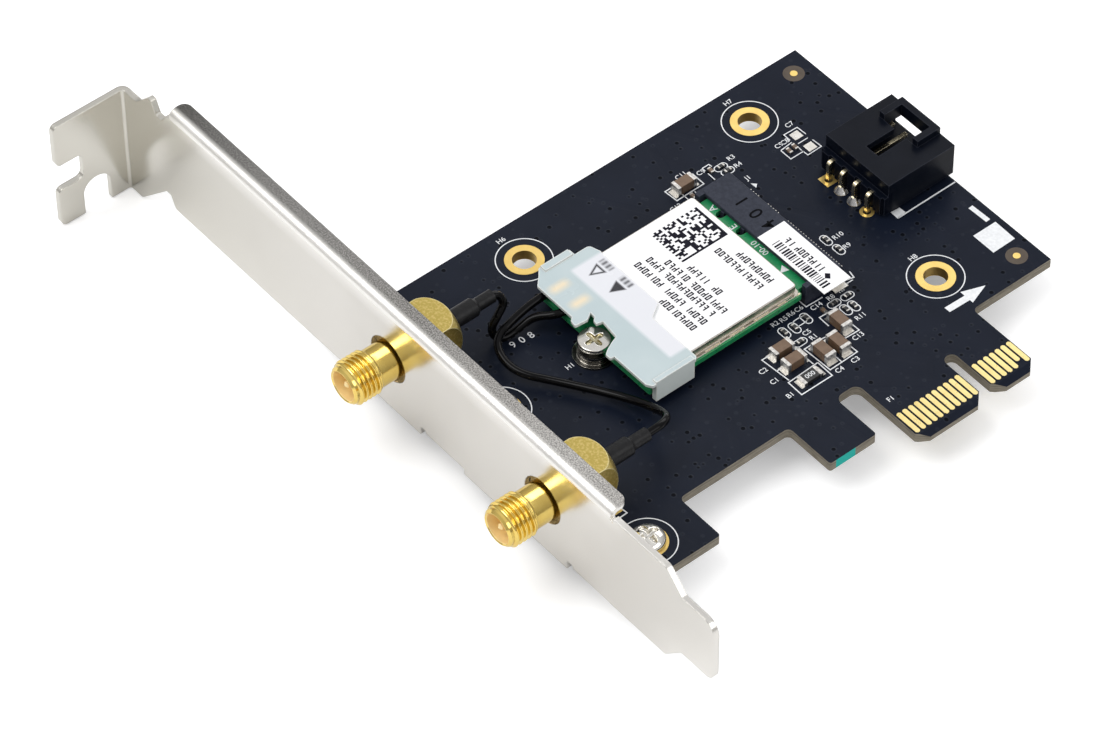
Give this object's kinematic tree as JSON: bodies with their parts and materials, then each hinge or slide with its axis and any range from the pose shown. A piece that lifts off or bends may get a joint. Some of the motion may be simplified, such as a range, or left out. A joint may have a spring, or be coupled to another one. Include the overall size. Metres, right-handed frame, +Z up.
{
  "type": "wireless network expansion card",
  "caption": "Low-cost wireless network card: edge-contact carrier board, full-height plated bracket, screw-on antenna jacks, socketed radio module under a clear cover, coaxial pigtails.",
  "frame": {"origin": "where the centre line of the key notch meets the contact edge, on the board's component face", "axes": "+X out of the contact edge, +Y away from the bracket, +Z up from the component face"},
  "size_m": [0.12, 0.0927, 0.0223],
  "materials": {
    "solder_mask": "satin, dark blue-black",
    "gold_plate": "gold plated",
    "nickel_sheet": "nickel plated, satin",
    "screw_nickel": "nickel plated",
    "jack_gold": "gold plated, turned",
    "insulator_white": "smooth",
    "sleeve_black": "matt",
    "cable_black": "glossy",
    "plug_gold": "gold plated",
    "module_mask": "green solder mask",
    "can_tin": "tinned",
    "label_white": "printed paper",
    "socket_black": "fine grained",
    "retainer_clear": "milky clear",
    "header_black": "satin",
    "solder_tin": "bright solder",
    "ceramic_brown": "ceramic with tinned ends",
    "resistor_black": "coated, tinned ends"
  },
  "bodies": {
    "root": {"board": "solder_mask", "bracket": "nickel_sheet", "capacitor_1": "ceramic_brown", "capacitor_2": "ceramic_brown", "capacitor_3": "ceramic_brown", "capacitor_4": "ceramic_brown", "capacitor_5": "ceramic_brown", "capacitor_6": "ceramic_brown", "chip_resistor": "resistor_black", "edge_contacts_bottom": "gold_plate", "edge_contacts_top": "gold_plate", "fiducials": "gold_plate", "foot_screw_1": "screw_nickel", "foot_screw_2": "screw_nickel", "ground_land": "gold_plate", "header_housing": "header_black", "header_lands": "gold_plate", "header_pin_1": "gold_plate", "header_pin_2": "gold_plate", "header_pin_3": "gold_plate", "header_pin_4": "gold_plate", "header_solder": "solder_tin", "hole_ring_1": "gold_plate", "hole_ring_2": "gold_plate", "hole_ring_3": "gold_plate", "jack_insulator_1": "insulator_white", "jack_insulator_2": "insulator_white", "jack_pin_1": "jack_gold", "jack_pin_2": "jack_gold", "jack_shell_1": "jack_gold", "jack_shell_2": "jack_gold", "jack_sleeve_1": "sleeve_black", "jack_sleeve_2": "sleeve_black", "module_board": "module_mask", "module_contacts": "gold_plate", "module_label": "label_white", "module_screw": "screw_nickel", "pigtail_1": "cable_black", "pigtail_2": "cable_black", "pigtail_plug_1": "plug_gold", "pigtail_plug_2": "plug_gold", "receptacle_1": "plug_gold", "receptacle_2": "plug_gold", "retainer": "retainer_clear", "screw_ring_1": "gold_plate", "screw_ring_2": "gold_plate", "shield_fence": "can_tin", "shield_lid": "can_tin", "small_capacitors": "ceramic_brown", "small_chip_caps": "solder_tin", "small_resistors": "resistor_black", "socket_contacts": "gold_plate", "socket_housing": "socket_black", "socket_label": "label_white", "socket_solder_tabs": "solder_tin", "spare_lands": "solder_tin", "standoff": "screw_nickel"}
  },
  "joints": []
}
